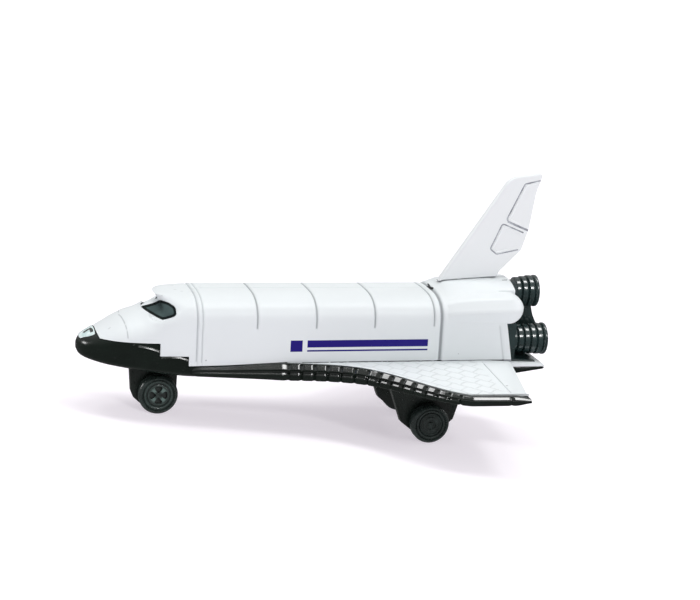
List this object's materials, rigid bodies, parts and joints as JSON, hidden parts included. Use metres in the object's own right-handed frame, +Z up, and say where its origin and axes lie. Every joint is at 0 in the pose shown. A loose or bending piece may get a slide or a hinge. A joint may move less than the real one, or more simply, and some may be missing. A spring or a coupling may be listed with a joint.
{
  "type": "toy space shuttle",
  "caption": "Pocket-size die-cast toy space shuttle: white casting over a black plastic underside, tail fin, ribbed engine nozzles and free-rolling wheels under fixed legs.",
  "frame": {"origin": "on the floor under the middle of the toy, with all its wheels standing on the floor", "axes": "+X aft, +Y to starboard, +Z up; the nose points to -X and dips a little, as the toy stands"},
  "size_m": [0.079, 0.0522, 0.0452],
  "materials": {
    "upper_casting": "glossy white enamel",
    "tail_fin": "glossy white enamel",
    "underside": "glossy moulded black",
    "window_port": "dark grey-green glazing",
    "window_starboard": "dark grey-green glazing",
    "front_gear_leg": "glossy moulded black",
    "rear_gear_leg_port": "glossy moulded black",
    "rear_gear_leg_starboard": "glossy moulded black",
    "engine_mount": "glossy moulded black",
    "engine_nozzle_top": "glossy moulded black",
    "engine_nozzle_port": "glossy moulded black",
    "engine_nozzle_starboard": "glossy moulded black",
    "front_axle": "bright drawn wire",
    "front_wheel_port": "moulded black, half gloss",
    "front_wheel_starboard": "moulded black, half gloss",
    "rear_axle": "bright drawn wire",
    "rear_wheel_port": "moulded black, half gloss",
    "rear_wheel_starboard": "moulded black, half gloss"
  },
  "bodies": {
    "shuttle": {"upper_casting": "upper_casting", "tail_fin": "tail_fin", "underside": "underside", "window_port": "window_port", "window_starboard": "window_starboard", "front_gear_leg": "front_gear_leg", "rear_gear_leg_port": "rear_gear_leg_port", "rear_gear_leg_starboard": "rear_gear_leg_starboard", "engine_mount": "engine_mount", "engine_nozzle_top": "engine_nozzle_top", "engine_nozzle_port": "engine_nozzle_port", "engine_nozzle_starboard": "engine_nozzle_starboard"},
    "front_wheelset": {"front_axle": "front_axle", "front_wheel_port": "front_wheel_port", "front_wheel_starboard": "front_wheel_starboard"},
    "rear_wheelset": {"rear_axle": "rear_axle", "rear_wheel_port": "rear_wheel_port", "rear_wheel_starboard": "rear_wheel_starboard"}
  },
  "joints": [
    {"name": "front_wheels_roll", "type": "hinge", "parent": "shuttle", "child": "front_wheelset", "pos_m": [-0.02545, 0, 0.00324], "axis": [0, 1, 0], "continuous": true},
    {"name": "rear_wheels_roll", "type": "hinge", "parent": "shuttle", "child": "rear_wheelset", "pos_m": [0.01925, 0, 0.00324], "axis": [0, 1, 0], "continuous": true}
  ]
}
